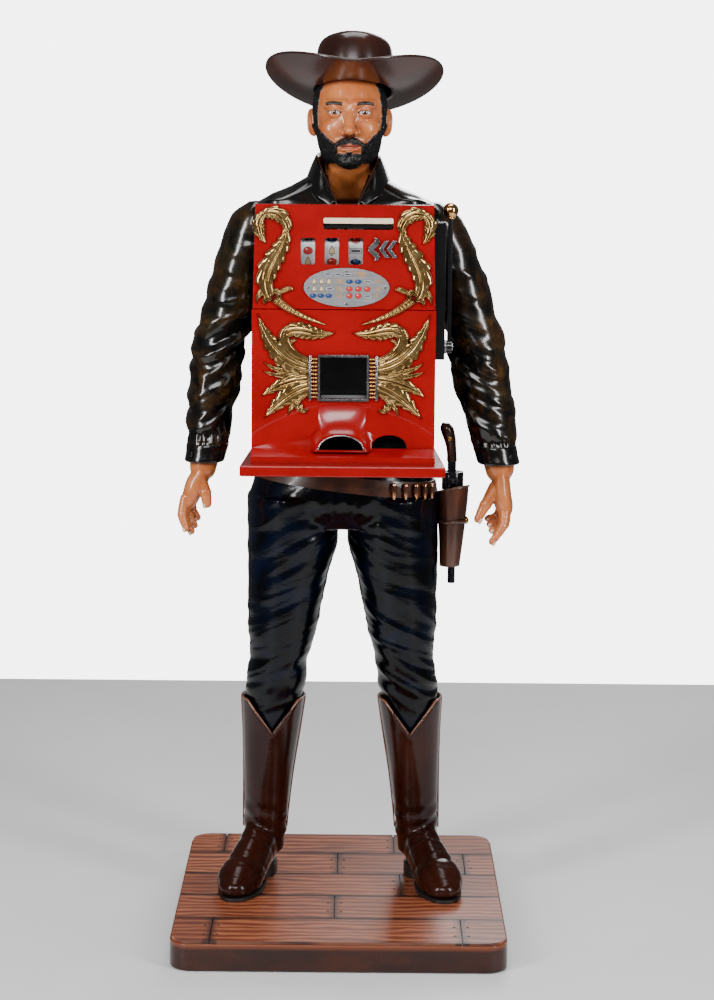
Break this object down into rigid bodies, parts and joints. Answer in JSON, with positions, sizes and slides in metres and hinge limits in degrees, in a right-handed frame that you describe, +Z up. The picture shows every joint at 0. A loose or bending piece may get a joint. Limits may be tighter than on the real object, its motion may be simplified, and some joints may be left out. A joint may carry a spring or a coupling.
{
  "type": "slot machine",
  "caption": "Free-standing mechanical slot machine set in the chest of a life-size cowboy figure on a boarded plinth, with a side handle, spinning reels, a jackpot window and payout cups.",
  "frame": {"origin": "centre of the plinth's underside, on the floor", "axes": "+Z up, the figure and the cabinet's front face -Y, +X to the figure's left, where the handle is"},
  "size_m": [0.73, 0.76, 1.9086],
  "materials": {
    "plinth_brown": "moulded resin, painted gloss dark brown",
    "plywood": "raw birch plywood",
    "deck_wood": "stained and varnished boards, satin",
    "dark_iron": "dark nail heads",
    "steel": "bright steel, satin",
    "boot_brown": "moulded resin, leather look, dark brown gloss",
    "sole_black": "black, satin",
    "trouser_black": "moulded resin, black gloss with dark blue in the folds",
    "belt_brown": "brown, satin",
    "cartridge_brass": "polished",
    "holster_brown": "brown, semi-gloss",
    "gun_black": "blued black, gloss",
    "grip_brown": "dark red-brown, gloss",
    "shirt_black": "moulded resin, black gloss with olive and brown patina",
    "skin": "moulded resin, painted tan skin, satin gloss",
    "hat_brown": "moulded resin, dark brown gloss",
    "lock_brass": "satin",
    "cabinet_red": "bright red, satin gloss",
    "case_black": "black, satin",
    "ornament_gold": "antique gold leaf with dark recesses",
    "frame_silver": "bright plated",
    "bin_black": "black, gloss",
    "card_silver": "brushed, printed",
    "ivory": "ivory, satin",
    "window_glass": "clear",
    "reel_white": "printed strip on a reel",
    "lever_black": "black, gloss",
    "knob_gold": "polished",
    "tube_brass": "satin",
    "box_grey": "grey, satin"
  },
  "bodies": {
    "machine": {"plinth_shell": "plinth_brown", "plinth_floor_board": "plywood", "deck_boards": "deck_wood", "deck_nails": "dark_iron", "leg_posts": "steel", "post_nuts": "steel", "right_boot": "boot_brown", "left_boot": "boot_brown", "boot_soles": "sole_black", "trousers": "trouser_black", "gun_belt": "belt_brown", "belt_cartridges": "cartridge_brass", "holster": "holster_brown", "revolver_frame": "gun_black", "revolver_grip": "grip_brown", "revolver_cylinder": "gun_black", "shirt_torso": "shirt_black", "shirt_collar": "shirt_black", "right_sleeve": "shirt_black", "left_sleeve": "shirt_black", "right_cuff": "shirt_black", "left_cuff": "shirt_black", "right_hand": "skin", "left_hand": "skin", "head": "skin", "hat": "hat_brown", "rear_door_hinge": "steel", "base_board": "cabinet_red", "cabinet_case": "case_black", "lower_front": "cabinet_red", "upper_front": "cabinet_red", "right_lower_leaves": "ornament_gold", "left_lower_leaves": "ornament_gold", "right_upper_scroll": "ornament_gold", "left_upper_scroll": "ornament_gold", "jackpot_frame": "frame_silver", "jackpot_bin": "bin_black", "fret_bars": "frame_silver", "payout_cup": "frame_silver", "award_card": "card_silver", "award_card_pins": "steel", "coin_window": "ivory", "coin_entry_plate": "frame_silver", "reel_glass": "window_glass", "mechanism_frame": "steel", "reel_shaft": "steel", "handle_housing": "case_black", "main_spring": "steel", "coin_tube": "tube_brass", "cash_box": "box_grey"},
    "handle": {"handle_shaft": "steel", "handle_lever": "lever_black", "handle_knob": "knob_gold"},
    "reel_one": {"reel_1": "reel_white"},
    "reel_two": {"reel_2": "reel_white"},
    "reel_three": {"reel_3": "reel_white"},
    "stops": {"stop_levers": "steel"},
    "slide": {"payout_slide": "steel"},
    "door": {"rear_door": "shirt_black"},
    "lock": {"rear_door_lock": "lock_brass"}
  },
  "joints": [
    {"name": "handle_pull", "type": "hinge", "parent": "machine", "child": "handle", "pos_m": [0.2, -0.127, 1.262], "axis": [1, 0, 0], "range_deg": [0, 70], "stiffness_Nm_per_rad": 6, "springref_deg": -22.92, "deforming": ["main_spring"]},
    {"name": "reel_one_spin", "type": "hinge", "parent": "machine", "child": "reel_one", "pos_m": [-0.074, -0.101, 1.46], "axis": [1, 0, 0], "continuous": true},
    {"name": "reel_two_spin", "type": "hinge", "parent": "machine", "child": "reel_two", "pos_m": [-0.0255, -0.101, 1.46], "axis": [1, 0, 0], "continuous": true},
    {"name": "reel_three_spin", "type": "hinge", "parent": "machine", "child": "reel_three", "pos_m": [0.023, -0.101, 1.46], "axis": [1, 0, 0], "continuous": true},
    {"name": "stop_release", "type": "hinge", "parent": "machine", "child": "stops", "pos_m": [0, -0.034, 1.385], "axis": [1, 0, 0], "range_deg": [-12, 0]},
    {"name": "payout_travel", "type": "slide", "parent": "machine", "child": "slide", "axis": [0, 1, 0], "range_m": [0, 0.022], "stiffness_N_per_m": 150, "springref_m": -0.004},
    {"name": "door_swing", "type": "hinge", "parent": "machine", "child": "door", "pos_m": [-0.107, 0.156, 1.24], "axis": [0, 0, 1], "range_deg": [0, 110]},
    {"name": "lock_turn", "type": "hinge", "parent": "door", "child": "lock", "pos_m": [0.078, 0.15, 1.24], "axis": [0, -1, 0], "range_deg": [0, 90]}
  ],
  "couplings": [
    {"joint": "stop_release", "follows": "handle_pull", "ratio": -0.1714}
  ]
}
